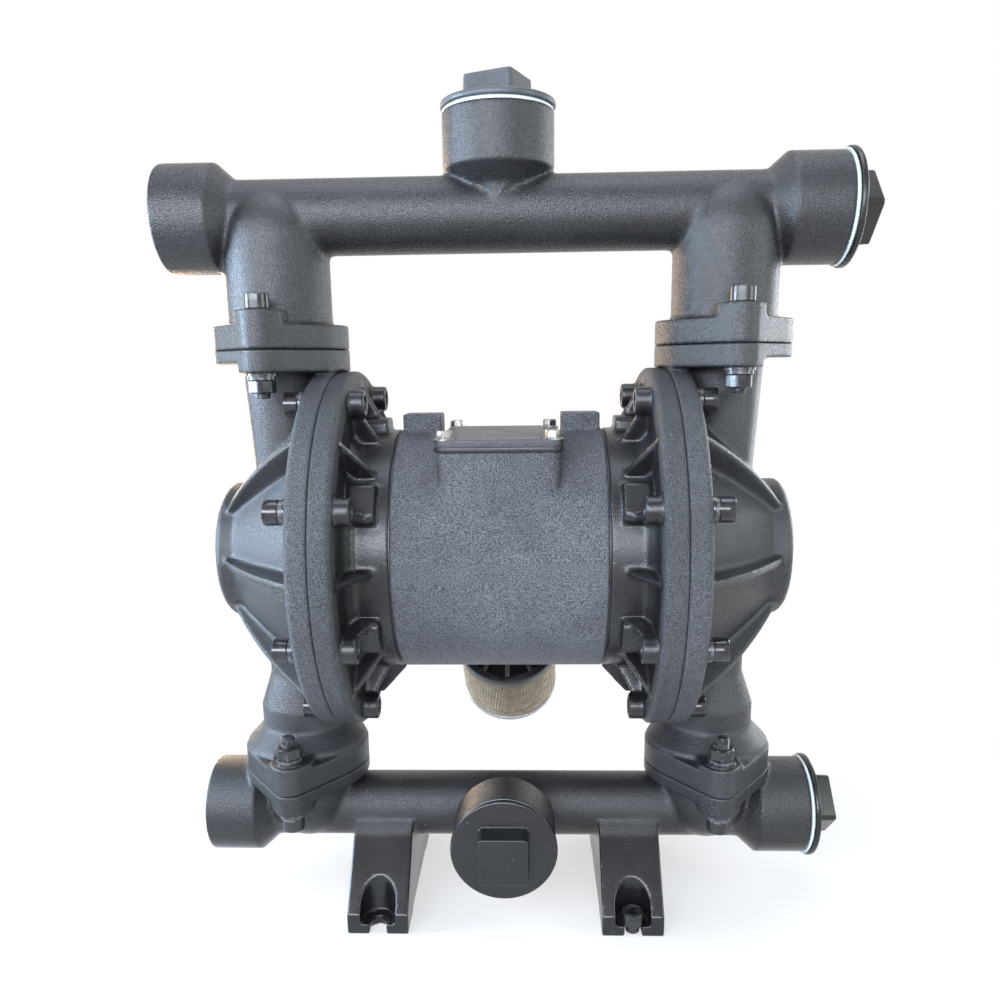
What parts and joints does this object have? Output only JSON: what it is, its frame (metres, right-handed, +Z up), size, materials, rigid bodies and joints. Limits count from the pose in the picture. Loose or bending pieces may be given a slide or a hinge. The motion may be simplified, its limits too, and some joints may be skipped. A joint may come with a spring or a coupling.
{
  "type": "air operated diaphragm pump",
  "caption": "Twin chamber air operated diaphragm pump with upper and lower threaded manifolds, check balls, exhaust muffler and slotted feet.",
  "frame": {"origin": "floor level midway between the four foot slots, under the middle of the pump", "axes": "+Z up; X along the diaphragm shaft and both manifolds, with the plugged ports at +X and the open inlet and outlet at -X; +Y to the back, where the muffler and the air inlet are"},
  "size_m": [0.4781, 0.32, 0.5911],
  "materials": {
    "black_casting": "black powder coat with a fine sandy texture, on cast aluminium",
    "black_plug": "black powder coat on cast aluminium",
    "cover_plate": "dark grey coat, smooth",
    "black_steel": "black oxide, slightly glossy",
    "zinc_steel": "bright zinc",
    "ptfe": "white PTFE, satin",
    "rubber": "black rubber",
    "bare_aluminium": "machined",
    "bright_steel": "bright steel",
    "bronze": "sintered bronze",
    "black_muffler": "black, smooth",
    "wire_mesh": "woven wire, warm tint"
  },
  "bodies": {
    "pump": {"body_gaskets": "rubber", "body_screws": "black_steel", "centre_body": "black_casting", "chamber_bolts": "black_steel", "chamber_spring_washers": "black_steel", "chamber_washers": "black_steel", "clamp_nuts": "black_steel", "clamp_spring_washers": "black_steel", "clamp_washers": "black_steel", "foot_screw": "black_steel", "front_port_plug": "black_plug", "inlet_cages": "bare_aluminium", "inlet_seats": "bare_aluminium", "left_air_chamber": "black_casting", "left_diaphragm": "rubber", "left_fluid_chamber": "black_casting", "lower_clamp_bolts": "black_steel", "lower_manifold": "black_casting", "lower_right_plug": "black_plug", "muffler_base": "black_muffler", "muffler_end_cap": "bright_steel", "muffler_mesh": "wire_mesh", "outlet_cages": "bare_aluminium", "outlet_seats": "bare_aluminium", "plug_seals": "ptfe", "right_air_chamber": "black_casting", "right_diaphragm": "rubber", "right_fluid_chamber": "black_casting", "seat_o_rings": "rubber", "shaft_bushes": "bronze", "shaft_seals": "rubber", "top_port_plug": "black_plug", "upper_clamp_bolts": "black_steel", "upper_manifold": "black_casting", "upper_right_plug": "black_plug", "valve_block": "bare_aluminium", "valve_cover": "cover_plate", "valve_cover_bolts": "zinc_steel", "valve_cover_gasket": "rubber"},
    "shaft": {"diaphragm_shaft": "bright_steel", "left_inner_plate": "bare_aluminium", "right_inner_plate": "bare_aluminium", "left_outer_plate": "bare_aluminium", "right_outer_plate": "bare_aluminium"},
    "pilot_rod": {"pilot_rod": "bright_steel"},
    "valve_spool": {"valve_spool": "bright_steel"},
    "outlet_ball_left": {"outlet_ball_left": "ptfe"},
    "outlet_ball_right": {"outlet_ball_right": "ptfe"},
    "inlet_ball_left": {"inlet_ball_left": "ptfe"},
    "inlet_ball_right": {"inlet_ball_right": "ptfe"}
  },
  "joints": [
    {"name": "shaft_stroke", "type": "slide", "parent": "pump", "child": "shaft", "axis": [1, 0, 0], "range_m": [-0.012, 0.012], "deforming": ["left_diaphragm", "right_diaphragm"]},
    {"name": "pilot_slide", "type": "slide", "parent": "pump", "child": "pilot_rod", "axis": [1, 0, 0], "range_m": [-0.0048, 0.0048]},
    {"name": "spool_slide", "type": "slide", "parent": "pump", "child": "valve_spool", "axis": [1, 0, 0], "range_m": [-0.004, 0.004]},
    {"name": "outlet_ball_left_lift", "type": "slide", "parent": "pump", "child": "outlet_ball_left", "axis": [0, 0, 1], "range_m": [0, 0.008]},
    {"name": "outlet_ball_right_lift", "type": "slide", "parent": "pump", "child": "outlet_ball_right", "axis": [0, 0, 1], "range_m": [0, 0.008]},
    {"name": "inlet_ball_left_lift", "type": "slide", "parent": "pump", "child": "inlet_ball_left", "axis": [0, 0, 1], "range_m": [0, 0.008]},
    {"name": "inlet_ball_right_lift", "type": "slide", "parent": "pump", "child": "inlet_ball_right", "axis": [0, 0, 1], "range_m": [0, 0.008]}
  ],
  "couplings": [
    {"joint": "pilot_slide", "follows": "shaft_stroke", "ratio": 0.4}
  ]
}
